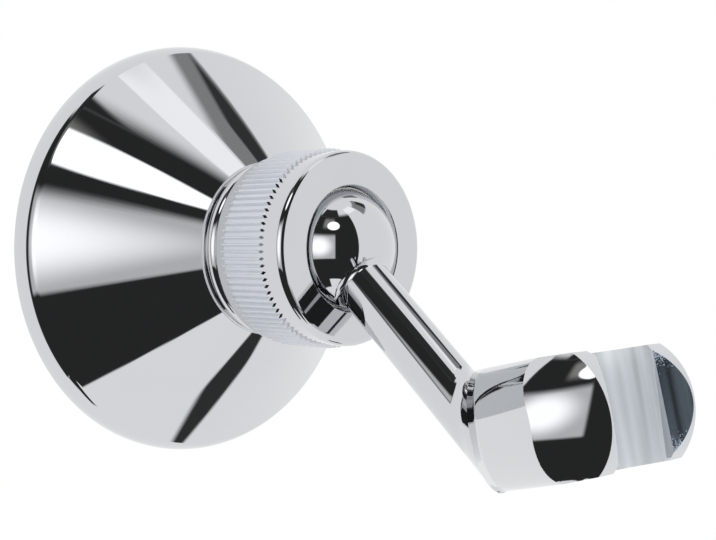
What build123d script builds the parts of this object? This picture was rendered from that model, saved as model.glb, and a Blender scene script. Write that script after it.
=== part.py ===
"""Wall holder for a hand shower: bell rosette, knurled clamping nut, ball joint, rod and open cradle."""

import os
from math import cos, pi, radians, sin, sqrt, tan

from build123d import *

# Rosette: bell on the wall, sizes along the axis count outwards from the wall
rosette_radius = 50.0
rosette_wall = 1.2
lip_height = 5.5
lip_land = 1.2
lip_draft = 1.6
lip_bulge = 0.35
cone_length = 23.0
neck_radius = 20.2
neck_length = 0.9
neck_clearance = 0.4

# Beaded ring that clamps the neck of the rosette
ring_width = 4.6
ring_land_radius = 19.7
ring_bead_height = 0.8
ring_bead_width = 2.8

# Socket: turned post with an outside thread and a bore for the ball seat
thread_radius = 17.0
thread_clearance = 0.08
thread_behind_neck = 3.0
post_radius = 11.0
foot_radius = 15.0
foot_thickness = 3.0
socket_bore_clearance = 0.6

# Mounting plate and its fixings, one above and one below the axis
plate_radius = 33.0
plate_thickness = 3.0
fixing_spacing = 48.0
fixing_screw_radius = 2.1
fixing_head_radius = 4.2
fixing_head_height = 2.2
fixing_length = 34.0
fixing_tip = 4.0
fixing_neck_step = 0.1
fixing_neck_length = 0.5
fixing_play = 0.3
socket_screw_radius = 3.0
socket_screw_head_radius = 5.6
socket_screw_head_height = 2.4
socket_screw_length = 15.0
socket_screw_play = 0.05
drive_radius = 1.5
drive_depth = 1.3

# Ball joint
ball_radius = 13.6
ball_setback = 6.2
seat_clearance = 0.06
seat_play = 0.08
rear_seat_setback = 13.5
rear_seat_depth = 5.8
rear_seat_hole_radius = 6.0
spring_thickness = 0.8
spring_rise = 1.0
spring_hole_radius = 6.5
spring_gap = 0.3

# Knurled clamping nut
nut_gap = 0.6
nut_rear_band = 3.5
nut_rear_round = 1.0
nut_band_radius = 21.4
nut_front_band = 6.0
nut_front_round = 1.6
nut_front_wall = 2.0
nut_opening_radius = 13.85
nut_lip_clearance = 0.3
nut_lip_land = 0.5
knurl_length = 12.5
knurl_depth = 0.7
knurl_root = 0.05
knurl_ridge_share = 0.6
knurl_bed = 1.0
knurl_count = 90
front_seat_length = 5.6
clamp_gap = 0.4

# Arm: round rod that drops from the ball to the head
rod_radius = 6.0
rod_length = 58.0
rod_drop = 40.0
rod_base_flare = 1.2
rod_base_gap = 0.05
stud_radius = 4.0
stud_length = 8.0
stud_clearance = 0.06
stud_end_gap = 0.5

# Head: flared neck, bulged cheeks that close in to the tips, and the open cradle between them
head_rise = 13.4
head_length = 37.6
tip_width = 26.8
head_back_width = 12.6
head_back_height = 23.8
head_front_height = 21.2
head_corner = 6.0
nose_depth = 5.0
neck_flat = 0.5
head_flare = 29.0
cheek_radius = 32.0
cheek_tip_angle = 43.0
cheek_bow = 7.2
cheek_overrun = 3.0
cheek_lean = -16.0
rod_offset = 1.8
cradle_setback = 10.3
cradle_top_radius = 10.9
cradle_bottom_radius = 9.9
slot_width = 18.0
slot_run = 6.4

# Distances from the wall that follow from the sizes above
cone_end = lip_height + cone_length
neck_end = cone_end + neck_length
ring_front = neck_end + ring_width
nut_back = ring_front + nut_gap
knurl_start = nut_back + nut_rear_band
knurl_end = knurl_start + knurl_length
nut_front = knurl_end + nut_front_band
nut_floor = nut_front - nut_front_wall
ball_out = nut_front - ball_setback
front_seat_back = nut_floor - front_seat_length
socket_front = front_seat_back - clamp_gap
thread_start = neck_end - thread_behind_neck
rear_seat_back = ball_out - rear_seat_setback
socket_floor = rear_seat_back - spring_gap - spring_rise - spring_thickness

# Radii that follow from the sizes above
lip_radius = rosette_radius - lip_draft
fixing_neck_radius = fixing_screw_radius + fixing_neck_step
neck_bore = thread_radius + neck_clearance
nut_bore = thread_radius + thread_clearance
seat_radius = ball_radius + seat_clearance
socket_bore = ball_radius + socket_bore_clearance
rear_seat_radius = socket_bore - seat_play
nut_lip_radius = sqrt((ball_radius + nut_lip_clearance) ** 2 - (ball_setback - nut_front_wall) ** 2)

# Directions of the rod and the head, both in the upright plane through the axis
drop = radians(rod_drop)
rise = radians(head_rise)
rod_direction = Vector(0, -cos(drop), -sin(drop))
head_direction = Vector(0, -cos(rise), sin(rise))
head_up = Vector(0, sin(rise), cos(rise))
ball_centre = Vector(0, -ball_out, 0)
head_origin = ball_centre + rod_direction * rod_length + head_up * rod_offset
cradle_run = head_length - cradle_setback
cradle_centre = head_origin + head_direction * cradle_run
rod_base_radius = rod_radius + rod_base_flare
ball_flat = sqrt(ball_radius**2 - rod_base_radius**2)

# Planes: in a turned profile, radius runs across and distance from the wall runs up
TURNED = Plane(origin=(0, 0, 0), x_dir=(1, 0, 0), z_dir=(0, 0, -1))
WALL = Plane(origin=(0, 0, 0), x_dir=(1, 0, 0), z_dir=(0, -1, 0))
ROD = Plane(origin=ball_centre, x_dir=(1, 0, 0), z_dir=rod_direction)
ROD_SIDE = Plane(origin=ball_centre, x_dir=(1, 0, 0), z_dir=Vector(1, 0, 0).cross(rod_direction))
HEAD = Plane(origin=head_origin, x_dir=(1, 0, 0), z_dir=head_direction)
HEAD_SIDE = Plane(origin=head_origin, x_dir=head_direction, z_dir=(-1, 0, 0))
HEAD_PLAN = Plane(origin=cradle_centre, x_dir=(1, 0, 0), z_dir=head_up)

os.makedirs("parts", exist_ok=True)

# Mounting plate: flat disc with two countersunk holes and one for the post
with BuildPart() as mounting_plate:
    with BuildSketch(WALL):
        Circle(plate_radius)
    extrude(amount=plate_thickness)
    with Locations(WALL.offset(plate_thickness)):
        with GridLocations(0, fixing_spacing, 1, 2):
            CounterSinkHole(fixing_screw_radius + fixing_play, fixing_head_radius + fixing_play)
    with Locations(WALL.rotated((180, 0, 0))):
        CounterSinkHole(socket_screw_radius + fixing_play, socket_screw_head_radius + fixing_play)
mounting_plate.part.label = "mounting_plate"
export_step(mounting_plate.part, "parts/mounting_plate.step")

# Wall screws: countersunk head flush with the plate, neck that tapers to a pointed shank in the wall
with BuildPart() as wall_screws:
    with BuildSketch(TURNED):
        with BuildLine():
            Polyline(
                (0, plate_thickness),
                (fixing_head_radius, plate_thickness),
                (fixing_neck_radius, plate_thickness - fixing_head_height),
                (fixing_screw_radius, -fixing_neck_length),
                (fixing_screw_radius, fixing_tip - fixing_length),
                (0, -fixing_length),
                close=True,
            )
        make_face()
    revolve(axis=Axis.Y)
    with BuildSketch(WALL.offset(plate_thickness)):
        RegularPolygon(drive_radius, 6)
    extrude(amount=-drive_depth, mode=Mode.SUBTRACT)
    upper_screw = wall_screws.part.moved(Location((0, 0, fixing_spacing / 2)))
    lower_screw = wall_screws.part.moved(Location((0, 0, -fixing_spacing / 2)))
    add(upper_screw, mode=Mode.REPLACE)
    add(lower_screw)
wall_screws.part.label = "wall_screws"
export_step(wall_screws.part, "parts/wall_screws.step")

# Socket body: foot, post and threaded cup
with BuildPart() as socket_body:
    with BuildSketch(TURNED):
        with BuildLine():
            Polyline(
                (0, plate_thickness),
                (foot_radius, plate_thickness),
                (foot_radius, plate_thickness + foot_thickness),
                (post_radius, plate_thickness + foot_thickness),
                (post_radius, thread_start - thread_radius + post_radius),
                (thread_radius, thread_start),
                (thread_radius, socket_front),
                (socket_bore, socket_front),
                (socket_bore, socket_floor),
                (0, socket_floor),
                close=True,
            )
        make_face()
    revolve(axis=Axis.Y)
    with BuildSketch(WALL.offset(plate_thickness)):
        Circle(socket_screw_radius + socket_screw_play)
    extrude(amount=socket_screw_length, mode=Mode.SUBTRACT)
socket_body.part.label = "socket_body"
export_step(socket_body.part, "parts/socket_body.step")

# Socket screw: countersunk from behind, holds the post on the plate
with BuildPart() as socket_screw:
    with BuildSketch(TURNED):
        with BuildLine():
            Polyline(
                (0, 0),
                (socket_screw_head_radius, 0),
                (socket_screw_radius, socket_screw_head_height),
                (socket_screw_radius, socket_screw_length),
                (0, socket_screw_length),
                close=True,
            )
        make_face()
    revolve(axis=Axis.Y)
    with BuildSketch(WALL):
        RegularPolygon(drive_radius, 6)
    extrude(amount=drive_depth, mode=Mode.SUBTRACT)
socket_screw.part.label = "socket_screw"
export_step(socket_screw.part, "parts/socket_screw.step")

# Wall rosette: lip, straight cone and short neck with an inward flange, open to the wall
cone_slant = sqrt(cone_length**2 + (lip_radius - neck_radius) ** 2)
wall_in = rosette_wall * cone_length / cone_slant
wall_back = rosette_wall * (lip_radius - neck_radius) / cone_slant
cone_slope = (lip_radius - neck_radius) / cone_length
flange_back = neck_end - rosette_wall
cone_inner_end = lip_radius - wall_in - cone_slope * (flange_back - lip_height + wall_back)
with BuildPart() as wall_rosette:
    with BuildSketch(TURNED):
        with BuildLine():
            Polyline(
                (lip_radius, lip_height),
                (neck_radius, cone_end),
                (neck_radius, neck_end),
                (neck_bore, neck_end),
                (neck_bore, flange_back),
                (cone_inner_end, flange_back),
                (lip_radius - wall_in, lip_height - wall_back),
                (rosette_radius - rosette_wall, lip_land),
                (rosette_radius - rosette_wall, 0),
                (rosette_radius, 0),
                (rosette_radius, lip_land),
            )
            SagittaArc((rosette_radius, lip_land), (lip_radius, lip_height), lip_bulge)
        make_face()
    revolve(axis=Axis.Y)
wall_rosette.part.label = "wall_rosette"
export_step(wall_rosette.part, "parts/wall_rosette.step")

# Rosette ring: threaded on the socket, with one round bead
bead_start = neck_end + (ring_width - ring_bead_width) / 2
bead_end = bead_start + ring_bead_width
with BuildPart() as rosette_ring:
    with BuildSketch(TURNED):
        with BuildLine():
            Polyline(
                (ring_land_radius, bead_end),
                (ring_land_radius, ring_front),
                (nut_bore, ring_front),
                (nut_bore, neck_end),
                (ring_land_radius, neck_end),
                (ring_land_radius, bead_start),
            )
            SagittaArc((ring_land_radius, bead_start), (ring_land_radius, bead_end), ring_bead_height)
        make_face()
    revolve(axis=Axis.Y)
rosette_ring.part.label = "rosette_ring"
export_step(rosette_ring.part, "parts/rosette_ring.step")

# Seat spring: coned disc on the floor of the socket
with BuildPart() as seat_spring:
    with BuildSketch(TURNED):
        with BuildLine():
            Polyline(
                (rear_seat_radius, socket_floor),
                (rear_seat_radius, socket_floor + spring_thickness),
                (spring_hole_radius, socket_floor + spring_rise + spring_thickness),
                (spring_hole_radius, socket_floor + spring_rise),
                close=True,
            )
        make_face()
    revolve(axis=Axis.Y)
seat_spring.part.label = "seat_spring"
export_step(seat_spring.part, "parts/seat_spring.step")

# Rear seat: cup behind the ball
with BuildPart() as rear_seat:
    with BuildSketch(TURNED):
        with Locations((rear_seat_hole_radius, rear_seat_back)):
            Rectangle(
                rear_seat_radius - rear_seat_hole_radius,
                rear_seat_depth,
                align=(Align.MIN, Align.MIN),
            )
        with Locations((0, ball_out)):
            Circle(seat_radius, mode=Mode.SUBTRACT)
    revolve(axis=Axis.Y)
rear_seat.part.label = "rear_seat"
export_step(rear_seat.part, "parts/rear_seat.step")

# Front seat: ring in the nut, in front of the widest part of the ball
with BuildPart() as front_seat:
    with BuildSketch(TURNED):
        with Locations((0, front_seat_back)):
            Rectangle(thread_radius, front_seat_length, align=(Align.MIN, Align.MIN))
        with Locations((0, ball_out)):
            Circle(seat_radius, mode=Mode.SUBTRACT)
    revolve(axis=Axis.Y)
front_seat.part.label = "front_seat"
export_step(front_seat.part, "parts/front_seat.step")

# Knurled nut: turned body with rounded ends and a bevelled opening, ridged band round it
knurl_step = pi / knurl_count
ridge_outline = [
    (radius * cos(angle), radius * sin(angle))
    for tooth in range(knurl_count)
    for radius, angle in (
        (nut_band_radius - knurl_root, (2 * tooth - knurl_ridge_share) * knurl_step),
        (nut_band_radius + knurl_depth, 2 * tooth * knurl_step),
        (nut_band_radius - knurl_root, (2 * tooth + knurl_ridge_share) * knurl_step),
    )
]
bed_radius = nut_band_radius - knurl_bed
with BuildPart() as knurled_nut:
    with BuildSketch(TURNED):
        with BuildLine():
            Polyline(
                (nut_bore, nut_back),
                (nut_band_radius, nut_back),
                (nut_band_radius, knurl_start),
                (bed_radius, knurl_start),
                (bed_radius, knurl_end),
                (nut_band_radius, knurl_end),
                (nut_band_radius, nut_front),
                (nut_opening_radius, nut_front),
                (nut_lip_radius, nut_floor + nut_lip_land),
                (nut_lip_radius, nut_floor),
                (nut_bore, nut_floor),
                close=True,
            )
        make_face()
    revolve(axis=Axis.Y)
    band_edges = knurled_nut.edges().filter_by(GeomType.CIRCLE).group_by(SortBy.RADIUS)[-1].sort_by(Axis.Y)
    fillet(band_edges[0], nut_front_round)
    fillet(band_edges[-1], nut_rear_round)
    with BuildSketch(WALL.offset(knurl_start)):
        Polygon(*ridge_outline, align=None)
        Circle(bed_radius, mode=Mode.SUBTRACT)
    extrude(amount=knurl_length)
knurled_nut.part.label = "knurled_nut"
export_step(knurled_nut.part, "parts/knurled_nut.step")

# Ball: flat seat for the rod and a blind bore for its stud
with BuildPart() as ball:
    with Locations(ball_centre):
        Sphere(ball_radius)
    split(bisect_by=ROD.offset(ball_flat), keep=Keep.BOTTOM)
    with BuildSketch(ROD.offset(ball_flat)):
        Circle(stud_radius + stud_clearance)
    extrude(amount=-stud_length - stud_end_gap, mode=Mode.SUBTRACT)
ball.part.label = "ball"
export_step(ball.part, "parts/ball.step")

# Rod with its flared base and stud, cut to meet the back of the head
rod_start = ball_flat + rod_base_gap
with BuildPart() as rod:
    with BuildSketch(ROD.offset(rod_start)):
        Circle(rod_radius)
    extrude(amount=rod_length)
    split(bisect_by=HEAD, keep=Keep.BOTTOM)
    with BuildSketch(ROD_SIDE):
        with BuildLine():
            Polyline(
                (rod_radius, rod_start + rod_base_flare),
                (0, rod_start + rod_base_flare),
                (0, rod_start),
                (rod_base_radius, rod_start),
            )
            RadiusArc(
                (rod_base_radius, rod_start),
                (rod_radius, rod_start + rod_base_flare),
                rod_base_flare,
            )
        make_face()
    revolve(axis=Axis(ball_centre, rod_direction))
    with BuildSketch(ROD.offset(rod_start)):
        Circle(stud_radius)
    extrude(amount=rod_base_gap - stud_length)


def section_outline(half_width, half_height, corner_width, corner_height):
    """Closed outline with straight sides and a quarter ellipse at each corner."""
    inner_x = half_width - corner_width
    inner_y = half_height - corner_height
    with BuildLine() as outline:
        Line((half_width, -inner_y), (half_width, inner_y))
        EllipticalCenterArc((inner_x, inner_y), corner_width, corner_height, 0)
        Line((inner_x, half_height), (-inner_x, half_height))
        EllipticalCenterArc((-inner_x, inner_y), corner_width, corner_height, 90)
        Line((-half_width, inner_y), (-half_width, -inner_y))
        EllipticalCenterArc((-inner_x, -inner_y), corner_width, corner_height, 180)
        Line((-inner_x, -half_height), (inner_x, -half_height))
        EllipticalCenterArc((inner_x, -inner_y), corner_width, corner_height, 270)
    return outline.edges()


# Head: flared neck cut to a rounded front and bulged cheeks, then the cradle bore and its slot
front_reach = head_length + cradle_setback
taper_per_mm = (head_back_height - head_front_height) / (2 * head_length)
nose_half = head_front_height / 2
cheek_run = head_length - cheek_radius * sin(radians(cheek_tip_angle))
cheek_in = cheek_radius * cos(radians(cheek_tip_angle)) - tip_width / 2
cheek_reach = head_back_height / 2 + cheek_overrun
cheek_up = head_up.rotate(Axis.X, cheek_lean)
neck_outline = section_outline(
    head_back_width / 2,
    head_back_height / 2,
    (head_back_width - neck_flat) / 2,
    (head_back_height - neck_flat) / 2,
)
front_outline = section_outline(
    head_back_width / 2 + front_reach * tan(radians(head_flare)),
    head_back_height / 2 - front_reach * taper_per_mm,
    head_corner,
    head_corner,
)
with BuildPart() as head:
    with BuildSketch(HEAD):
        make_face(neck_outline)
    with BuildSketch(HEAD.offset(front_reach)):
        make_face(front_outline)
    loft(ruled=True)
    with BuildSketch(HEAD_SIDE.offset(-front_reach)):
        with BuildLine():
            Polyline(
                (head_length - nose_depth, nose_half),
                (0, head_back_height / 2),
                (0, -head_back_height / 2),
                (head_length - nose_depth, -nose_half),
            )
            ThreePointArc(
                (head_length - nose_depth, -nose_half),
                (head_length, 0),
                (head_length - nose_depth, nose_half),
            )
        make_face()
    extrude(amount=2 * front_reach, mode=Mode.INTERSECT)
    for side in (1, -1):
        cheek_axis = head_origin + head_direction * cheek_run + Vector(side, 0, 0) * cheek_in
        cheek_across = Vector(-side, 0, 0)
        with BuildSketch(Plane(origin=cheek_axis, x_dir=cheek_across, z_dir=cheek_across.cross(cheek_up))):
            with BuildLine():
                Polyline(
                    (cheek_radius - cheek_bow, cheek_reach),
                    (0, cheek_reach),
                    (0, -cheek_reach),
                    (cheek_radius - cheek_bow, -cheek_reach),
                )
                ThreePointArc(
                    (cheek_radius - cheek_bow, -cheek_reach),
                    (cheek_radius, 0),
                    (cheek_radius - cheek_bow, cheek_reach),
                )
            make_face()
        revolve(axis=Axis(cheek_axis, cheek_up), mode=Mode.INTERSECT)
    with BuildSketch(HEAD_PLAN.offset(-head_back_height / 2)):
        Circle(cradle_bottom_radius)
    with BuildSketch(HEAD_PLAN.offset(head_back_height / 2)):
        Circle(cradle_top_radius)
    loft(mode=Mode.SUBTRACT)
    with BuildSketch(HEAD_PLAN):
        with BuildLine():
            Polyline(
                (-slot_width / 2, 0),
                (-slot_width / 2, -slot_run),
                (-tip_width / 2, -cradle_setback),
                (tip_width / 2, -cradle_setback),
                (slot_width / 2, -slot_run),
                (slot_width / 2, 0),
                close=True,
            )
        make_face()
    extrude(amount=head_back_height, both=True, mode=Mode.SUBTRACT)

# Arm: rod and head, one casting
with BuildPart() as arm:
    add(head.part)
    add(rod.part)
arm.part.label = "arm"
export_step(arm.part, "parts/arm.step")
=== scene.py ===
import bpy
from math import atan2, cos, hypot, pi, radians, sin, sqrt, tan
from mathutils import Matrix, Vector


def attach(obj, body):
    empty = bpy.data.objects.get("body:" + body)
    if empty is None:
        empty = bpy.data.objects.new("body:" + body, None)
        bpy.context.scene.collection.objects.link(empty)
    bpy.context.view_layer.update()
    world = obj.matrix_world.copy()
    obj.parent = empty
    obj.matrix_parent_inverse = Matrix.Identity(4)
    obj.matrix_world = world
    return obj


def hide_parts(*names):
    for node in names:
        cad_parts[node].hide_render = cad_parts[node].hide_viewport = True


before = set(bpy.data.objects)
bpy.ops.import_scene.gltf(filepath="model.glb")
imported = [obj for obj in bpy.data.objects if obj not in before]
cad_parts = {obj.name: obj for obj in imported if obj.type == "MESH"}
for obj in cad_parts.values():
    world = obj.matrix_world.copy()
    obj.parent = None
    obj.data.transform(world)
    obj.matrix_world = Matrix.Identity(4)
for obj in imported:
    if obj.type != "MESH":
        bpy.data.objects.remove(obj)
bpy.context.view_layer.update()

# Hand shower holder. Sizes in millimetres: radii, and distances out from the wall
MM = 0.001
WELD = 0.001
SLIVER = 0.003
NEARBY = 0.01

# Rosette
ROSETTE_RADIUS = 50.0
ROSETTE_WALL = 1.2
LIP_LAND = 1.2
LIP_RADIUS = 48.4
LIP_HEIGHT = 5.5
LIP_BULGE = 0.35
LIP_ROUND = 0.5
CONE_END = 28.5
NECK_RADIUS = 20.2
NECK_END = 29.4
NECK_BORE = 17.4
NECK_ROUND = 0.25

# Ring
RING_LAND = 19.7
RING_FRONT = 34.0
RING_ROUND = 0.3
BEAD_START = 30.3
BEAD_END = 33.1
BEAD_HEIGHT = 0.8
THREAD_BORE = 17.08

# Nut and its knurl
NUT_BACK = 34.6
NUT_BACK_ROUND = 1.0
NUT_BAND = 21.4
NUT_FRONT = 56.6
NUT_FRONT_ROUND = 1.6
NUT_FLOOR = 54.6
NUT_LIP = 13.25
NUT_LIP_TOP = 55.1
NUT_OPENING = 13.85
NUT_OPENING_ROUND = 0.3
KNURL_START = 38.1
KNURL_END = 50.6
KNURL_BED = 21.35
KNURL_TIP = 22.1
KNURL_COUNT = 90
RIDGE_WIDTH = 0.9
RIDGE_CREST = 0.1

# Ball, and the rod with its stud; the drop of the rod is in degrees
BALL_OUT = 50.4
BALL_RADIUS = 13.6
BALL_BORE = 4.06
BALL_BORE_DEPTH = 8.5
ROD_DROP = 40.0
ROD_LENGTH = 58.0
ROD_RADIUS = 6.0
ROD_FLARE = 1.2
ROD_CLEARANCE = 0.05
ROD_OVERRUN = 10.0
ROD_BITE = 0.3
ROD_OFFSET = 1.8
STUD_CLEARANCE = 0.06
STUD_END_CLEARANCE = 0.6
BEND_BEFORE = 4.0
BEND_AFTER = 4.0

# Head of the arm, from its back at the rod; rise and lean are in degrees
HEAD_RISE = 13.4
HEAD_CORNER = 6.0
NECK_HALF_WIDTH = 6.3
NECK_HALF_HEIGHT = 12.0
NECK_CORNER = 0.96
FRONT_REACH = 47.9
FRONT_HALF_WIDTH = 32.85
FRONT_HALF_HEIGHT = 10.244
NOSE_REACH = 37.3
NOSE_HALF = 10.6
NOSE_DEPTH = 5.0
CHEEK_RADIUS = 32.0
CHEEK_REACH = 14.9
CHEEK_BOW = 7.2
CHEEK_LEAN = 16.0
CHEEK_RUN = 15.78
CHEEK_IN = 10.0
CHEEK_DROP = 1.6
CHEEK_LAND = 6.0
CRADLE_RUN = 27.3
CRADLE_TOP = 10.9
CRADLE_BOTTOM = 9.9
SLOT_HALF = 9.0
SLOT_RUN = 6.4
TIP_HALF = 13.4
TIP_RUN = 10.3

# Steps of round shapes, and the angles in degrees above which an edge stays sharp
TURN_STEPS = 256
ROUND_STEPS = 8
LIP_STEPS = 10
BEAD_STEPS = 14
BALL_SEGMENTS = 128
BALL_RINGS = 96
CORNER_STEPS = 20
NOSE_STEPS = 48
CHEEK_STEPS = 192
CHEEK_BOW_STEPS = 40
CRADLE_STEPS = 160
ROD_STEPS = 160
FLARE_STEPS = 10
CARD_STEPS = 24
TURNED_CREASE = 25
CAST_CREASE = 20

# Chrome: cast of its colour, unevenness, and scales of its patterns per metre
CHROME_CAST = (0.95, 0.97, 1.0)
POLISH_SPREAD = 0.02
POLISH_SHADE = 0.02
POLISH_CLOUD = 90.0
POLISH_HAZE = 900.0
POLISH_WAVE = 160.0
WAVE_STRENGTH = 0.1
WAVE_DEPTH = 0.02
ROSETTE_LEVEL = 0.64
ROSETTE_ROUGHNESS = 0.015
NUT_LEVEL = 0.63
NUT_ROUGHNESS = 0.02
ARM_LEVEL = 0.64
ARM_ROUGHNESS = 0.02
KNURL_ROUGHNESS = 0.3
KNURL_METAL = 0.4
KNURL_COLOUR = (0.7, 0.725, 0.77, 1)
MASK_MARGIN = 0.12

# Dull plating in the bore of the cradle and on the facets of its slot, with grain near their ends; the
# facets also carry a painted dark, bluish reflection over their streaks
BORE_GAIN = 0.5
BORE_BASE = 0.48
BORE_METAL = 0.3
BORE_CAST = (-0.03, -0.01, 0.0)
# Facets: streaks over a low base level that paints in a dark reflection, and a blue tint that is a
# painted reflection
FACET_GAIN = 1.8
FACET_PAINTED_DARK = -0.48
FACET_METAL = 0.88
FACET_REFLECTION_TINT = (-0.24, -0.13, 0.0)
INSIDE_ROUGHNESS = 0.24
STREAK_STRETCH = 0.04
STREAK_SCALE = 0.45
GRAIN_SCALE = 3.4
GRAIN_START = 4.0
GRAIN_RUN = 5.0
GRAIN_GAIN = 0.34
GRAIN_LIMIT = 0.78
GRAIN_LEVEL = 0.8
GRAIN_METAL = 0.5

# Hidden pieces: clouds in tone and roughness, with a low relief
CLOUD_BASE = 0.85
CLOUD_GAIN = 0.3
CLOUD_ROUGHNESS = 0.15
RELIEF_STRENGTH = 0.2
RELIEF_DEPTH = 0.05

# Studio, in metres: cards by their distance from the ball, floor, light and camera
FAR_CARD = 0.46
NEAR_CARD = 0.28
CARD_CORE = 0.3
FLOOR_SIZE = 40.0
FLOOR_DEPTH = 1.2
FLOOR_GREY = 0.8
FLOOR_ROUGHNESS = 0.9
FLOOR_GLOW = 0.2
LIGHT_PLACE = (-0.5, -0.7, 0.9)
LIGHT_SIZE = 0.8
LIGHT_WATTS = 3.0
IMAGE_WIDTH = 716
FOCAL_PIXELS = 1200
SHIFT_PIXELS = -21.8
SENSOR_WIDTH = 36
CAMERA_PLACE = (-0.1837, -0.2422, 0)
CAMERA_FORWARD = (0.7057, 0.7085, 0)
CAMERA_NEAR = 0.01

# Inner face of the rosette's cone, one wall inside the outer one
cone_run = LIP_RADIUS - NECK_RADIUS
cone_rise = CONE_END - LIP_HEIGHT
wall_share = ROSETTE_WALL / hypot(cone_run, cone_rise)
inner_foot = (LIP_RADIUS - cone_rise * wall_share, LIP_HEIGHT - cone_run * wall_share)
flange_back = NECK_END - ROSETTE_WALL
inner_top = inner_foot[0] - (flange_back - inner_foot[1]) * cone_run / cone_rise

# Flat of the ball under the foot of the rod
rod_foot = ROD_RADIUS + ROD_FLARE
ball_flat = sqrt(BALL_RADIUS**2 - rod_foot**2)

# Directions and places along the arm, in metres
drop = radians(ROD_DROP)
rise = radians(HEAD_RISE)
sideways = Vector((1, 0, 0))
rod_direction = Vector((0, -cos(drop), -sin(drop)))
head_direction = Vector((0, -cos(rise), sin(rise)))
head_up = Vector((0, sin(rise), cos(rise)))
ball_centre = Vector((0, -BALL_OUT, 0)) * MM
head_origin = ball_centre + (rod_direction * ROD_LENGTH + head_up * ROD_OFFSET) * MM
cradle_centre = head_origin + head_direction * CRADLE_RUN * MM


# Handling of pieces and selections
def deselect():
    if bpy.context.object and bpy.context.object.mode != "OBJECT":
        bpy.ops.object.mode_set(mode="OBJECT")
    bpy.ops.object.select_all(action="DESELECT")


def make_active(piece):
    deselect()
    piece.select_set(True)
    bpy.context.view_layer.objects.active = piece


def select_points(piece, test):
    """Select the vertices whose place in the mesh passes the test, and enter edit mode."""
    make_active(piece)
    bpy.ops.object.mode_set(mode="EDIT")
    bpy.ops.mesh.select_mode(type="VERT")
    bpy.ops.mesh.select_all(action="DESELECT")
    bpy.ops.object.mode_set(mode="OBJECT")
    for vertex in piece.data.vertices:
        vertex.select = test(vertex.co)
    bpy.ops.object.mode_set(mode="EDIT")


def finish_piece(piece, body, node, finish, crease):
    """Smooth the piece, give it its finish and hang it on its body in place of the solid."""
    make_active(piece)
    bpy.ops.object.shade_smooth_by_angle(angle=radians(crease))
    piece.data.materials.clear()
    piece.data.materials.append(finish)
    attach(piece, body)
    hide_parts(node)


def even_normals(piece):
    """Keep flat faces flat beside the small rounds."""
    make_active(piece)
    piece.modifiers.new("even_normals", "WEIGHTED_NORMAL").keep_sharp = True
    bpy.ops.object.modifier_apply(modifier="even_normals")


# Drawing of outlines and bodies
def arc(start, end, rise, steps):
    """Points between start and end on an arc that rises to the right of the chord."""
    chord = Vector(end) - Vector(start)
    half = chord.length / 2
    radius = (half**2 + rise**2) / (2 * rise)
    across = Vector((chord.y, -chord.x)).normalized()
    centre = (Vector(start) + Vector(end)) / 2 - across * (radius - rise)
    first = Vector(start) - centre
    turn = 2 * atan2(half, radius - rise)
    return [
        tuple(centre + Matrix.Rotation(turn * step / steps, 2) @ first)
        for step in range(1, steps)
    ]


def line_piece(name, points):
    """Chain of edges through points, made from one corner that is drawn out."""
    deselect()
    bpy.ops.mesh.primitive_plane_add(size=MM)
    piece = bpy.context.object
    piece.name = name
    bpy.ops.object.mode_set(mode="EDIT")
    bpy.ops.mesh.select_all(action="SELECT")
    bpy.ops.mesh.merge(type="CENTER")
    bpy.ops.transform.translate(value=points[0])
    for here, there in zip(points, points[1:]):
        step = tuple(b - a for a, b in zip(here, there))
        bpy.ops.mesh.extrude_vertices_move(TRANSFORM_OT_translate={"value": step})
    return piece


def weld(gap):
    """Make one of points that meet, in edit mode, and turn the faces outwards."""
    bpy.ops.mesh.select_all(action="SELECT")
    bpy.ops.mesh.remove_doubles(threshold=gap)
    bpy.ops.mesh.normals_make_consistent(inside=False)


def turned(name, outline, rounds):
    """Piece turned about the wall's axis from a closed outline of (radius, distance from the wall)."""
    points = [(radius * MM, -out * MM, 0) for radius, out in outline]
    piece = line_piece(name, points + points[:1])
    bpy.ops.mesh.select_all(action="SELECT")
    bpy.ops.mesh.remove_doubles(threshold=WELD * MM)
    for corner, radius in rounds:
        place = Vector((corner[0] * MM, -corner[1] * MM, 0))
        select_points(piece, lambda co: (co - place).length < NEARBY * MM)
        bpy.ops.mesh.bevel(offset=radius * MM, segments=ROUND_STEPS, affect="VERTICES")
    bpy.ops.mesh.select_all(action="SELECT")
    bpy.ops.mesh.spin(steps=TURN_STEPS, angle=2 * pi, center=(0, 0, 0), axis=(0, 1, 0))
    weld(WELD * MM)
    bpy.ops.object.mode_set(mode="OBJECT")
    return piece


def spun(name, points, steps):
    """Closed body spun about Z, in millimetres, from (radius, height) points that meet the axis."""
    piece = line_piece(name, [(radius, 0, height) for radius, height in points])
    bpy.ops.mesh.select_all(action="SELECT")
    bpy.ops.mesh.spin(steps=steps, angle=2 * pi, center=(0, 0, 0), axis=(0, 0, 1))
    weld(WELD)
    bpy.ops.object.mode_set(mode="OBJECT")
    return piece


def drawn(name, points, depth, upright=False):
    """Closed body drawn to both sides of an outline: along X from (y, z), or upright from (x, y)."""
    foot = [(x, y, -depth) if upright else (-depth, x, y) for x, y in points]
    piece = line_piece(name, foot + foot[:1])
    bpy.ops.mesh.select_all(action="SELECT")
    bpy.ops.mesh.remove_doubles(threshold=WELD)
    bpy.ops.mesh.edge_face_add()
    run = (0, 0, 2 * depth) if upright else (2 * depth, 0, 0)
    bpy.ops.mesh.extrude_region_move(TRANSFORM_OT_translate={"value": run})
    weld(WELD)
    bpy.ops.object.mode_set(mode="OBJECT")
    return piece


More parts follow.
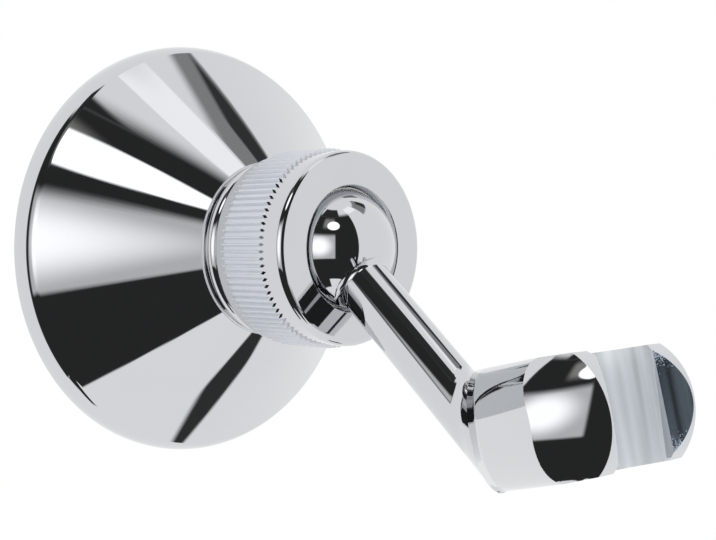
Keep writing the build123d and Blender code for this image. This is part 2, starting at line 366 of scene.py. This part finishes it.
def rounded_plate(name, half_width, half_height, corner, stretch):
    """Flat plate across the head with rounded corners, stretched after the rounding."""
    deselect()
    bpy.ops.mesh.primitive_plane_add(size=2)
    piece = bpy.context.object
    piece.name = name
    piece.scale = (half_width, half_height, 1)
    bpy.ops.object.transform_apply(location=False, rotation=False, scale=True)
    bpy.ops.object.mode_set(mode="EDIT")
    bpy.ops.mesh.select_all(action="SELECT")
    bpy.ops.mesh.bevel(offset=corner, segments=CORNER_STEPS, affect="VERTICES")
    bpy.ops.transform.resize(value=(stretch[0], stretch[1], 1))
    bpy.ops.transform.rotate(value=pi / 2, orient_axis="X", center_override=(0, 0, 0))
    bpy.ops.object.mode_set(mode="OBJECT")
    return piece


def frame_at(origin, across, upward):
    """Matrix that carries X to across and Z to upward, at origin."""
    forward = upward.cross(across)
    return Matrix.Translation(origin) @ Matrix((across, forward, upward)).transposed().to_4x4()


def settle(piece, matrix):
    """Put a piece in its place, within its mesh."""
    make_active(piece)
    piece.matrix_world = matrix
    bpy.ops.object.transform_apply(location=True, rotation=True, scale=True)


def carve(piece, tool, operation):
    """Cut, keep or join the piece with the tool, which is used up."""
    make_active(piece)
    cut = piece.modifiers.new("carve", "BOOLEAN")
    cut.operation = operation
    cut.solver = "EXACT"
    cut.object = tool
    bpy.ops.object.modifier_apply(modifier="carve")
    bpy.data.objects.remove(tool)


# Finishes: nodes, and effects shared by several materials
def new_group(name, inputs, outputs):
    """Node group with number sockets."""
    group = bpy.data.node_groups.new(name, "ShaderNodeTree")
    for names, way in ((inputs, "INPUT"), (outputs, "OUTPUT")):
        for socket in names:
            group.interface.new_socket(name=socket, in_out=way, socket_type="NodeSocketFloat")
    return group, group.nodes.new("NodeGroupInput"), group.nodes.new("NodeGroupOutput")


def feed(tree, socket, value):
    """Set a plain number on the socket, or link an output to it."""
    if isinstance(value, (int, float)):
        socket.default_value = value
    else:
        tree.links.new(value, socket)


def math_node(tree, operation, *values, clamp=False):
    node = tree.nodes.new("ShaderNodeMath")
    node.operation = operation
    node.use_clamp = clamp
    for socket, value in zip(node.inputs, values):
        feed(tree, socket, value)
    return node.outputs[0]


def length_node(tree, first, second):
    """Length of the hypotenuse over two values."""
    squares = [math_node(tree, "MULTIPLY", value, value) for value in (first, second)]
    return math_node(tree, "SQRT", math_node(tree, "ADD", *squares))


def noise_node(tree, vector, scale, detail):
    node = tree.nodes.new("ShaderNodeTexNoise")
    node.inputs["Scale"].default_value = scale
    node.inputs["Detail"].default_value = detail
    tree.links.new(vector, node.inputs["Vector"])
    return node.outputs["Fac"]


def object_place(tree):
    return tree.nodes.new("ShaderNodeTexCoord").outputs["Object"]


def split_place(tree, place):
    """The three coordinates of a place."""
    split = tree.nodes.new("ShaderNodeSeparateXYZ")
    tree.links.new(place, split.inputs["Vector"])
    return split.outputs


def blend(tree, factor, plain, other):
    """Value that goes from plain to other with the factor."""
    node = tree.nodes.new("ShaderNodeMix")
    for socket, value in (("Factor", factor), ("A", plain), ("B", other)):
        feed(tree, node.inputs[socket], value)
    return node.outputs["Result"]


def colour_of(tree, red, green, blue):
    join = tree.nodes.new("ShaderNodeCombineColor")
    for socket, value in zip(join.inputs, (red, green, blue)):
        tree.links.new(value, socket)
    return join.outputs["Color"]


def tinted(tree, value, cast):
    """Colour from one value and the share of red, green and blue."""
    return colour_of(tree, *(math_node(tree, "MULTIPLY", value, share) for share in cast))


def bump(tree, shader, height, strength, depth):
    node = tree.nodes.new("ShaderNodeBump")
    node.inputs["Strength"].default_value = strength
    node.inputs["Distance"].default_value = depth * MM
    tree.links.new(height, node.inputs["Height"])
    tree.links.new(node.outputs["Normal"], shader.inputs["Normal"])


def make_polish_group():
    """Soft unevenness of a polished plating: a grey tint, a roughness and a low wave."""
    group, given, result = new_group(
        "plating_polish", ("Level", "Roughness"), ("Tint", "Roughness", "Wave")
    )
    place = object_place(group)
    cloud = noise_node(group, place, POLISH_CLOUD, 3.0)
    haze = noise_node(group, place, POLISH_HAZE, 2.0)
    wave = noise_node(group, place, POLISH_WAVE, 0.0)
    tint = math_node(group, "MULTIPLY_ADD", cloud, POLISH_SHADE, given.outputs["Level"])
    rough = math_node(group, "MULTIPLY_ADD", haze, POLISH_SPREAD, given.outputs["Roughness"])
    for socket, value in zip(result.inputs, (tint, rough, wave)):
        group.links.new(value, socket)
    return group


def make_cradle_group():
    """Masks of the bore and of the facets of the slot, with streaks and grain for both."""
    group, _, result = new_group("cradle_inside", (), ("Bore", "Facet", "Streak", "Grain"))
    turn = group.nodes.new("ShaderNodeMapping")
    turn.vector_type = "TEXTURE"
    turn.inputs["Location"].default_value = cradle_centre
    turn.inputs["Rotation"].default_value = (-rise, 0, 0)
    turn.inputs["Scale"].default_value = (MM, MM, MM)
    group.links.new(object_place(group), turn.inputs["Vector"])
    across, along, up = split_place(group, turn.outputs["Vector"])

    bore_taper = (CRADLE_TOP - CRADLE_BOTTOM) / (2 * NECK_HALF_HEIGHT)
    bore_radius = math_node(group, "MULTIPLY_ADD", up, bore_taper, (CRADLE_TOP + CRADLE_BOTTOM) / 2)
    beyond_bore = math_node(group, "SUBTRACT", length_node(group, across, along), bore_radius)
    bore = math_node(group, "LESS_THAN", beyond_bore, MASK_MARGIN)

    ahead = math_node(group, "MULTIPLY", along, -1.0)
    slope = (TIP_HALF - SLOT_HALF) / (TIP_RUN - SLOT_RUN)
    lead_in = math_node(group, "MULTIPLY_ADD", ahead, slope, SLOT_HALF - SLOT_RUN * slope)
    wall = math_node(group, "MAXIMUM", lead_in, SLOT_HALF)
    beyond_wall = math_node(group, "SUBTRACT", math_node(group, "ABSOLUTE", across), wall)
    facet = math_node(
        group, "MULTIPLY",
        math_node(group, "LESS_THAN", beyond_wall, MASK_MARGIN),
        math_node(group, "GREATER_THAN", ahead, SLOT_RUN),
    )

    lane = group.nodes.new("ShaderNodeCombineXYZ")
    lane_up = math_node(group, "MULTIPLY", up, STREAK_STRETCH)
    for socket, value in zip(lane.inputs, (across, along, lane_up)):
        group.links.new(value, socket)
    streak = noise_node(group, lane.outputs["Vector"], STREAK_SCALE, 1.0)
    speckle = noise_node(group, turn.outputs["Vector"], GRAIN_SCALE, 3.0)
    edge = math_node(group, "SUBTRACT", math_node(group, "ABSOLUTE", up), GRAIN_START)
    edge = math_node(group, "MULTIPLY", edge, 1 / GRAIN_RUN, clamp=True)
    raised = math_node(group, "MULTIPLY_ADD", edge, GRAIN_GAIN, speckle)
    grain = math_node(group, "GREATER_THAN", raised, GRAIN_LIMIT)
    for socket, value in zip(result.inputs, (bore, facet, streak, grain)):
        group.links.new(value, socket)
    return group


polish = make_polish_group()
cradle_inside = make_cradle_group()


def new_material(name):
    material = bpy.data.materials.new(name)
    material.use_nodes = True
    tree = material.node_tree
    return material, tree, tree.nodes["Principled BSDF"]


def place_group(tree, group, **values):
    node = tree.nodes.new("ShaderNodeGroup")
    node.node_tree = group
    for socket, value in values.items():
        node.inputs[socket].default_value = value
    return node


def chrome(name, level, roughness):
    """Polished plating."""
    material, tree, shader = new_material(name)
    shader.inputs["Metallic"].default_value = 1.0
    marks = place_group(tree, polish, Level=level, Roughness=roughness)
    tree.links.new(tinted(tree, marks.outputs["Tint"], CHROME_CAST), shader.inputs["Base Color"])
    tree.links.new(marks.outputs["Roughness"], shader.inputs["Roughness"])
    bump(tree, shader, marks.outputs["Wave"], WAVE_STRENGTH, WAVE_DEPTH)
    return material


def knurled_chrome():
    """Polished plating that is pale and duller over the knurl."""
    material = chrome("nut_chrome", NUT_LEVEL, NUT_ROUGHNESS)
    tree = material.node_tree
    shader = tree.nodes["Principled BSDF"]
    across, along, up = split_place(tree, object_place(tree))
    middle = (KNURL_START + KNURL_END) / 2 * MM
    offset = math_node(tree, "ABSOLUTE", math_node(tree, "ADD", along, middle))
    between = math_node(tree, "LESS_THAN", offset, (KNURL_END - KNURL_START) / 2 * MM)
    bed = (KNURL_BED - MASK_MARGIN) * MM
    outside = math_node(tree, "GREATER_THAN", length_node(tree, across, up), bed)
    knurl = math_node(tree, "MULTIPLY", between, outside)
    smooth = shader.inputs["Roughness"].links[0].from_socket
    tree.links.new(blend(tree, knurl, smooth, KNURL_ROUGHNESS), shader.inputs["Roughness"])
    tree.links.new(blend(tree, knurl, 1.0, KNURL_METAL), shader.inputs["Metallic"])
    pale = tree.nodes.new("ShaderNodeMix")
    pale.data_type = "RGBA"
    plain, dull, result = pale.inputs[6], pale.inputs[7], pale.outputs[2]
    tree.links.new(knurl, pale.inputs["Factor"])
    tree.links.new(shader.inputs["Base Color"].links[0].from_socket, plain)
    dull.default_value = KNURL_COLOUR
    tree.links.new(result, shader.inputs["Base Color"])
    return material


def cast_chrome():
    """Polished outside, dull in the cradle, with grain and a painted dark, bluish reflection on the
    facets of its slot.
    """
    material, tree, shader = new_material("cast_chrome")
    marks = place_group(tree, polish, Level=ARM_LEVEL, Roughness=ARM_ROUGHNESS)
    bore, facet, streak, grain = place_group(tree, cradle_inside).outputs
    grain = math_node(tree, "MULTIPLY", grain, facet)
    inside = math_node(tree, "MAXIMUM", bore, facet)

    bore_level = math_node(tree, "MULTIPLY_ADD", streak, BORE_GAIN, BORE_BASE)
    # Facet level: streaks over a painted dark reflection
    facet_streaks_and_reflection = math_node(tree, "MULTIPLY_ADD", streak, FACET_GAIN, FACET_PAINTED_DARK)
    level = blend(tree, bore, marks.outputs["Tint"], bore_level)
    level = blend(tree, facet, level, facet_streaks_and_reflection)
    level = blend(tree, grain, level, GRAIN_LEVEL)
    parts = []
    # The blue tint on the facets is a painted reflection
    for outer_cast, bore_cast, facet_reflection_tint in zip(CHROME_CAST, BORE_CAST, FACET_REFLECTION_TINT):
        share = math_node(tree, "MULTIPLY_ADD", inside, bore_cast, outer_cast)
        share = math_node(tree, "MULTIPLY_ADD", facet, facet_reflection_tint, share)
        parts.append(math_node(tree, "MULTIPLY", level, share))
    tree.links.new(colour_of(tree, *parts), shader.inputs["Base Color"])

    metal = blend(tree, bore, 1.0, BORE_METAL)
    metal = blend(tree, facet, metal, FACET_METAL)
    metal = blend(tree, grain, metal, GRAIN_METAL)
    rough = blend(tree, inside, marks.outputs["Roughness"], INSIDE_ROUGHNESS)
    tree.links.new(metal, shader.inputs["Metallic"])
    tree.links.new(rough, shader.inputs["Roughness"])
    bump(tree, shader, marks.outputs["Wave"], WAVE_STRENGTH, WAVE_DEPTH)
    return material


def plain_finish(name, colour, metal, roughness, scale):
    """Uneven finish of a hidden piece, cloudy in tone and roughness."""
    material, tree, shader = new_material(name)
    cloud = noise_node(tree, object_place(tree), scale, 4.0)
    shade = math_node(tree, "MULTIPLY_ADD", cloud, CLOUD_GAIN, CLOUD_BASE)
    rough = math_node(tree, "MULTIPLY_ADD", cloud, CLOUD_ROUGHNESS, roughness)
    tree.links.new(tinted(tree, shade, colour), shader.inputs["Base Color"])
    tree.links.new(rough, shader.inputs["Roughness"])
    shader.inputs["Metallic"].default_value = metal
    bump(tree, shader, cloud, RELIEF_STRENGTH, RELIEF_DEPTH)
    return material


polished = chrome("polished_chrome", ROSETTE_LEVEL, ROSETTE_ROUGHNESS)
nut_finish = knurled_chrome()
arm_finish = cast_chrome()

# Solids that stay as they are, most of them hidden inside
plated_steel = plain_finish("plated_steel", (0.62, 0.63, 0.64), 1.0, 0.25, 1500.0)
spring_steel = plain_finish("spring_steel", (0.42, 0.43, 0.45), 1.0, 0.3, 1200.0)
turned_brass = plain_finish("turned_brass", (0.72, 0.56, 0.28), 1.0, 0.22, 1800.0)
seat_plastic = plain_finish("seat_plastic", (0.86, 0.86, 0.83), 0.0, 0.45, 2500.0)
for finish, nodes in (
    (plated_steel, ("mounting_plate", "wall_screws", "socket_screw")),
    (spring_steel, ("seat_spring",)),
    (turned_brass, ("socket_body",)),
    (seat_plastic, ("rear_seat", "front_seat")),
):
    for node in nodes:
        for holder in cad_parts[node].material_slots:
            holder.material = finish

# Rosette: bell with a rounded lip, open to the wall
rosette = turned(
    "rosette_shell",
    [(ROSETTE_RADIUS, 0), (ROSETTE_RADIUS, LIP_LAND)]
    + arc((ROSETTE_RADIUS, LIP_LAND), (LIP_RADIUS, LIP_HEIGHT), LIP_BULGE, LIP_STEPS)
    + [
        (LIP_RADIUS, LIP_HEIGHT),
        (NECK_RADIUS, CONE_END),
        (NECK_RADIUS, NECK_END),
        (NECK_BORE, NECK_END),
        (NECK_BORE, flange_back),
        (inner_top, flange_back),
        inner_foot,
        (ROSETTE_RADIUS - ROSETTE_WALL, LIP_LAND),
        (ROSETTE_RADIUS - ROSETTE_WALL, 0),
    ],
    [((LIP_RADIUS, LIP_HEIGHT), LIP_ROUND), ((NECK_RADIUS, NECK_END), NECK_ROUND)],
)
finish_piece(rosette, "base", "wall_rosette", polished, TURNED_CREASE)
even_normals(rosette)

# Ring with one round bead
ring = turned(
    "beaded_ring",
    [(THREAD_BORE, NECK_END), (RING_LAND, NECK_END), (RING_LAND, BEAD_START)]
    + arc((RING_LAND, BEAD_START), (RING_LAND, BEAD_END), BEAD_HEIGHT, BEAD_STEPS)
    + [(RING_LAND, BEAD_END), (RING_LAND, RING_FRONT), (THREAD_BORE, RING_FRONT)],
    [((RING_LAND, RING_FRONT), RING_ROUND)],
)
finish_piece(ring, "base", "rosette_ring", polished, TURNED_CREASE)
even_normals(ring)

# Nut: turned body, then the ridges of the knurl
nut = turned(
    "clamping_nut",
    [
        (THREAD_BORE, NUT_BACK),
        (NUT_BAND, NUT_BACK),
        (NUT_BAND, KNURL_START),
        (KNURL_BED, KNURL_START),
        (KNURL_BED, KNURL_END),
        (NUT_BAND, KNURL_END),
        (NUT_BAND, NUT_FRONT),
        (NUT_OPENING, NUT_FRONT),
        (NUT_LIP, NUT_LIP_TOP),
        (NUT_LIP, NUT_FLOOR),
        (THREAD_BORE, NUT_FLOOR),
    ],
    [
        ((NUT_BAND, NUT_BACK), NUT_BACK_ROUND),
        ((NUT_BAND, NUT_FRONT), NUT_FRONT_ROUND),
        ((NUT_OPENING, NUT_FRONT), NUT_OPENING_ROUND),
    ],
)
ridge_height = KNURL_TIP - KNURL_BED + RIDGE_CREST
ridge_middle = (KNURL_TIP - ridge_height / 2) * MM
deselect()
bpy.ops.mesh.primitive_cube_add(
    size=MM,
    location=(0, -(KNURL_START + KNURL_END) / 2 * MM, ridge_middle),
    scale=(RIDGE_WIDTH, KNURL_END - KNURL_START, ridge_height),
)
ridges = bpy.context.object
bpy.ops.object.transform_apply(location=True, rotation=False, scale=True)
select_points(ridges, lambda co: co.z > ridge_middle)
bpy.ops.transform.resize(value=(RIDGE_CREST / RIDGE_WIDTH, 1, 1))
bpy.ops.mesh.select_all(action="SELECT")
bpy.ops.mesh.spin(
    steps=KNURL_COUNT - 1,
    dupli=True,
    angle=2 * pi * (KNURL_COUNT - 1) / KNURL_COUNT,
    center=(0, 0, 0),
    axis=(0, 1, 0),
)
make_active(nut)
ridges.select_set(True)
bpy.ops.object.join()
finish_piece(nut, "nut", "knurled_nut", nut_finish, TURNED_CREASE)
even_normals(nut)

# Ball: sphere with a flat and a blind bore under the rod
deselect()
bpy.ops.mesh.primitive_uv_sphere_add(
    segments=BALL_SEGMENTS, ring_count=BALL_RINGS, radius=BALL_RADIUS * MM
)
ball = bpy.context.object
ball.name = "joint_ball"
towards_rod = rod_direction.to_track_quat("Z", "Y").to_matrix().to_4x4()
settle(ball, Matrix.Translation(ball_centre) @ towards_rod)
bpy.ops.object.mode_set(mode="EDIT")
bpy.ops.mesh.select_all(action="SELECT")
bpy.ops.mesh.bisect(
    plane_co=ball_centre + rod_direction * ball_flat * MM,
    plane_no=rod_direction,
    use_fill=True,
    clear_outer=True,
)
bpy.ops.mesh.inset(thickness=(rod_foot - BALL_BORE) * MM)
bpy.ops.mesh.extrude_region_move(
    TRANSFORM_OT_translate={"value": tuple(rod_direction * -BALL_BORE_DEPTH * MM)}
)
bpy.ops.mesh.select_all(action="SELECT")
bpy.ops.mesh.normals_make_consistent(inside=False)
finish_piece(ball, "ball", "ball", polished, TURNED_CREASE)

# Head of the arm: flared neck between the outline at the rod and a wider one beyond the tips
arm = rounded_plate("cradle_arm", 1, 1, NECK_CORNER, (NECK_HALF_WIDTH, NECK_HALF_HEIGHT))
front = rounded_plate("head_front", FRONT_HALF_WIDTH, FRONT_HALF_HEIGHT, HEAD_CORNER, (1, 1))
settle(front, Matrix.Translation((0, -FRONT_REACH, 0)))
make_active(arm)
front.select_set(True)
bpy.ops.object.join()
bpy.ops.object.mode_set(mode="EDIT")
bpy.ops.mesh.select_all(action="SELECT")
bpy.ops.mesh.delete(type="ONLY_FACE")
bpy.ops.mesh.select_all(action="SELECT")
bpy.ops.mesh.bridge_edge_loops()
bpy.ops.mesh.select_all(action="SELECT")
bpy.ops.mesh.fill_holes(sides=0)
bpy.ops.mesh.select_all(action="SELECT")
bpy.ops.mesh.normals_make_consistent(inside=False)

# Side outline with its rounded nose
nose_top = (NOSE_DEPTH - NOSE_REACH, NOSE_HALF)
nose_foot = (NOSE_DEPTH - NOSE_REACH, -NOSE_HALF)
head_side = drawn(
    "head_side",
    [(0, -NECK_HALF_HEIGHT), (0, NECK_HALF_HEIGHT), nose_top]
    + arc(nose_top, nose_foot, NOSE_DEPTH, NOSE_STEPS)
    + [nose_foot],
    FRONT_REACH,
)
carve(arm, head_side, "INTERSECT")

# Two bulged cheeks, each the side of a leaning barrel
lean = radians(CHEEK_LEAN)
cheek_up = Vector((0, sin(lean), cos(lean)))
cheek_rim = CHEEK_RADIUS - CHEEK_BOW
cheek_end = CHEEK_REACH + CHEEK_LAND
cheek_outline = (
    [(0, -cheek_end), (cheek_rim, -cheek_end), (cheek_rim, -CHEEK_REACH)]
    + arc((cheek_rim, -CHEEK_REACH), (cheek_rim, CHEEK_REACH), CHEEK_BOW, CHEEK_BOW_STEPS)
    + [(cheek_rim, CHEEK_REACH), (cheek_rim, cheek_end), (0, cheek_end)]
)
for side in (1, -1):
    cheek = spun("cheek", cheek_outline, CHEEK_STEPS)
    place = Vector((side * CHEEK_IN, -CHEEK_RUN, 0)) - cheek_up * CHEEK_DROP
    settle(cheek, frame_at(place, sideways, cheek_up))
    carve(arm, cheek, "INTERSECT")

# Conical cradle, and its slot with a lead-in at the tips
deselect()
bpy.ops.mesh.primitive_cone_add(
    vertices=CRADLE_STEPS,
    radius1=CRADLE_BOTTOM,
    radius2=CRADLE_TOP,
    depth=2 * NECK_HALF_HEIGHT,
    location=(0, -CRADLE_RUN, 0),
)
bore = bpy.context.object
bpy.ops.object.transform_apply(location=True, rotation=False, scale=False)
carve(arm, bore, "DIFFERENCE")
slot_side = [
    (SLOT_HALF, -CRADLE_RUN),
    (SLOT_HALF, -CRADLE_RUN - SLOT_RUN),
    (TIP_HALF, -CRADLE_RUN - TIP_RUN),
]
slot_outline = [(-x, y) for x, y in slot_side] + slot_side[::-1]
carve(arm, drawn("slot", slot_outline, 2 * NECK_HALF_HEIGHT, upright=True), "DIFFERENCE")
settle(arm, frame_at(head_origin, sideways, head_up) @ Matrix.Scale(MM, 4))

# Rod with its flared foot and stud, cut just inside the head and joined to it
rod_start = ball_flat + ROD_CLEARANCE
rod_end = ROD_LENGTH + ROD_OVERRUN
flare_top = rod_start + ROD_FLARE
flare_rise = ROD_FLARE * (1 - cos(pi / 4))
flare = arc((ROD_RADIUS, flare_top), (rod_foot, rod_start), flare_rise, FLARE_STEPS)
stud_radius = BALL_BORE - STUD_CLEARANCE
stud_end = ball_flat - BALL_BORE_DEPTH + STUD_END_CLEARANCE
rod = spun(
    "rod",
    [(0, stud_end), (stud_radius, stud_end), (stud_radius, rod_start), (rod_foot, rod_start)]
    + flare[::-1]
    + [(ROD_RADIUS, flare_top), (ROD_RADIUS, rod_end), (0, rod_end)],
    ROD_STEPS,
)
settle(rod, frame_at(ball_centre, sideways, rod_direction) @ Matrix.Scale(MM, 4))
bpy.ops.object.mode_set(mode="EDIT")
bpy.ops.mesh.select_all(action="SELECT")
bpy.ops.mesh.bisect(
    plane_co=head_origin + head_direction * ROD_BITE * MM,
    plane_no=head_direction,
    use_fill=True,
    clear_outer=True,
)
carve(arm, rod, "UNION")

# Soft bend between rod and head: one seam to each side of it, no slivers, and no crease on it
make_active(arm)
bpy.ops.object.mode_set(mode="EDIT")
for reach in (-BEND_BEFORE, BEND_AFTER):
    bpy.ops.mesh.select_all(action="SELECT")
    bpy.ops.mesh.bisect(
        plane_co=head_origin + head_direction * reach * MM, plane_no=head_direction
    )
bpy.ops.mesh.select_all(action="SELECT")
bpy.ops.mesh.remove_doubles(threshold=SLIVER * MM)
bpy.ops.mesh.dissolve_degenerate(threshold=SLIVER * MM)
finish_piece(arm, "arm", "arm", arm_finish, CAST_CREASE)
bend_half = 2 * ROD_BITE * MM
select_points(arm, lambda co: abs((co - head_origin).dot(head_direction)) < bend_half)
bpy.ops.mesh.mark_sharp(clear=True)
bpy.ops.object.mode_set(mode="OBJECT")


# Studio: curved cards round the ball joint that only the metal sees
def map_range(tree, value, low, high, from_value, to_value):
    """Smooth step from one value to another over a range."""
    node = tree.nodes.new("ShaderNodeMapRange")
    node.interpolation_type = "SMOOTHSTEP"
    names = ("Value", "From Min", "From Max", "To Min", "To Max")
    for name, number in zip(names, (value, low, high, from_value, to_value)):
        feed(tree, node.inputs[name], number)
    return node.outputs["Result"]


def card_face(name, azimuth, elevation, distance, level, soft, oval, rim, tint):
    """Glow of a card, which fades to clear at its edges."""
    material = bpy.data.materials.new(name + "_face")
    material.use_nodes = True
    tree = material.node_tree
    tree.nodes.clear()
    x, y, z = split_place(tree, object_place(tree))
    middle = radians(azimuth[0] + azimuth[1]) / 2
    half_turn = radians(azimuth[1] - azimuth[0]) / 2
    low, high = (radians(value) for value in elevation)

    from_ball = math_node(tree, "ADD", y, BALL_OUT * MM)
    aside = math_node(
        tree, "SUBTRACT",
        math_node(tree, "MULTIPLY", x, cos(middle)),
        math_node(tree, "MULTIPLY", from_ball, sin(middle)),
    )
    ahead = math_node(
        tree, "ADD",
        math_node(tree, "MULTIPLY", from_ball, cos(middle)),
        math_node(tree, "MULTIPLY", x, sin(middle)),
    )
    turn = math_node(tree, "ARCTAN2", aside, ahead)
    climb = math_node(tree, "ARCTAN2", z, distance)
    turn_share = math_node(tree, "DIVIDE", turn, half_turn)
    climb_share = math_node(tree, "SUBTRACT", climb, (low + high) / 2)
    climb_share = math_node(tree, "DIVIDE", climb_share, (high - low) / 2)
    reach = length_node(tree, turn_share, climb_share)

    if oval:
        mask = map_range(tree, reach, oval, 1.0, 1.0, 0.0)
    else:
        left, right, below, above = (radians(value) for value in soft)
        mask = map_range(tree, turn, -half_turn, left - half_turn, 0.0, 1.0)
        for edge in (
            map_range(tree, turn, half_turn - right, half_turn, 1.0, 0.0),
            map_range(tree, climb, low, low + below, 0.0, 1.0),
            map_range(tree, climb, high - above, high, 1.0, 0.0),
        ):
            mask = math_node(tree, "MULTIPLY", mask, edge)

    glow = tree.nodes.new("ShaderNodeEmission")
    glow.inputs["Color"].default_value = (*tint, 1)
    strength = map_range(tree, reach, CARD_CORE, 1.0, level, level * rim)
    tree.links.new(strength, glow.inputs["Strength"])
    clear = tree.nodes.new("ShaderNodeBsdfTransparent")
    faded = tree.nodes.new("ShaderNodeMixShader")
    end = tree.nodes.new("ShaderNodeOutputMaterial")
    tree.links.new(mask, faded.inputs["Fac"])
    tree.links.new(clear.outputs["BSDF"], faded.inputs[1])
    tree.links.new(glow.outputs["Emission"], faded.inputs[2])
    tree.links.new(faded.outputs["Shader"], end.inputs["Surface"])
    return material


def card(name, azimuth, elevation, distance, level, soft=None, oval=None, rim=1.0, tint=(1, 1, 1)):
    """Card over a range of azimuth and elevation in degrees, seen from the ball.

    Azimuth 0 is towards the wall and 90 to +X. soft gives the width of the faded edge at the low and
    high azimuth and at the low and high elevation. An oval card fades from the given share of its
    reach to its edge instead. The level falls to the share rim from the middle to the edge.
    """
    first = radians(azimuth[0])
    foot, top = (distance * tan(radians(value)) for value in elevation)
    start = Vector((distance * sin(first), distance * cos(first) - BALL_OUT * MM, foot))
    sheet = line_piece(name, [tuple(start), (start.x, start.y, top)])
    bpy.ops.mesh.select_all(action="SELECT")
    bpy.ops.mesh.spin(
        steps=CARD_STEPS,
        angle=radians(azimuth[1] - azimuth[0]),
        center=tuple(ball_centre),
        axis=(0, 0, 1),
    )
    bpy.ops.object.mode_set(mode="OBJECT")
    face = card_face(name, azimuth, elevation, distance, level, soft, oval, rim, tint)
    sheet.data.materials.append(face)
    sheet.visible_camera = False
    sheet.visible_diffuse = False
    sheet.visible_shadow = False
    sheet.visible_transmission = False


card("dark_drape", (-182, -72), (-58, 66), FAR_CARD, 0.028, soft=(1, 3, 1, 9))
card("upper_drape", (-152, -92), (58, 76), FAR_CARD, 0.035, soft=(4, 6, 1, 3))
card("lamp_haze", (-140, -108), (32, 58), 0.42, 0.3, soft=(7, 8, 10, 8), tint=(1.0, 0.97, 0.93))
card("front_softbox", (-139, -76), (-20, 27), NEAR_CARD, 1.6, soft=(3, 5, 3, 8), rim=0.4)
card("lower_drape", (-124, -72), (-76, -56), NEAR_CARD, 0.028, soft=(3, 3, 3, 1))
card("lamp", (-149, -119), (32, 50), 0.40, 2.0, oval=0.8)
card("ceiling_light", (136, 182), (61, 75), FAR_CARD, 1.3, soft=(4, 2, 2, 4))
card("upper_screen", (92, 136), (48, 69), FAR_CARD, 0.3, soft=(2, 4, 3, 3))
card("upper_slot", (93, 110), (48, 63), 0.44, 0.045, soft=(3, 3, 2, 2))
card("lower_slot", (96, 122), (-68, -54), FAR_CARD, 0.04, soft=(3, 4, 2, 2))

# White surroundings, seen by the camera and in the metal
world = bpy.data.worlds.new("studio")
bpy.context.scene.world = world
world.use_nodes = True
background = world.node_tree.nodes["Background"]
background.inputs["Color"].default_value = (1, 1, 1, 1)
background.inputs["Strength"].default_value = 1.0

# Floor of the studio, bright enough to run into the white
deselect()
bpy.ops.mesh.primitive_plane_add(size=FLOOR_SIZE, location=(0, 0, -FLOOR_DEPTH))
floor = bpy.context.object
floor.name = "floor"
floor_finish, _, shader = new_material("pale_floor")
shader.inputs["Base Color"].default_value = (FLOOR_GREY, FLOOR_GREY, FLOOR_GREY, 1)
shader.inputs["Roughness"].default_value = FLOOR_ROUGHNESS
shader.inputs["Specular IOR Level"].default_value = 0.0
shader.inputs["Emission Color"].default_value = (1, 1, 1, 1)
shader.inputs["Emission Strength"].default_value = FLOOR_GLOW
floor.data.materials.append(floor_finish)

# One soft light from above, not mirrored in the metal
deselect()
bpy.ops.object.light_add(type="AREA", location=LIGHT_PLACE)
light = bpy.context.object
light.name = "soft_light"
light.data.size = LIGHT_SIZE
light.data.energy = LIGHT_WATTS
light.rotation_euler = (ball_centre - light.location).to_track_quat("-Z", "Y").to_euler()
light.visible_glossy = False

# Camera at the photograph's viewing angle
deselect()
bpy.ops.object.camera_add()
camera = bpy.context.object
camera.name = "camera"
camera.data.sensor_width = SENSOR_WIDTH
camera.data.lens = SENSOR_WIDTH * FOCAL_PIXELS / IMAGE_WIDTH
camera.data.shift_y = SHIFT_PIXELS / IMAGE_WIDTH
camera.data.clip_start = CAMERA_NEAR
level_view = Vector(CAMERA_FORWARD).to_track_quat("-Z", "Y").to_matrix().to_4x4()
camera.matrix_world = Matrix.Translation(CAMERA_PLACE) @ level_view
bpy.context.scene.camera = camera
bpy.context.scene.view_settings.view_transform = "Standard"
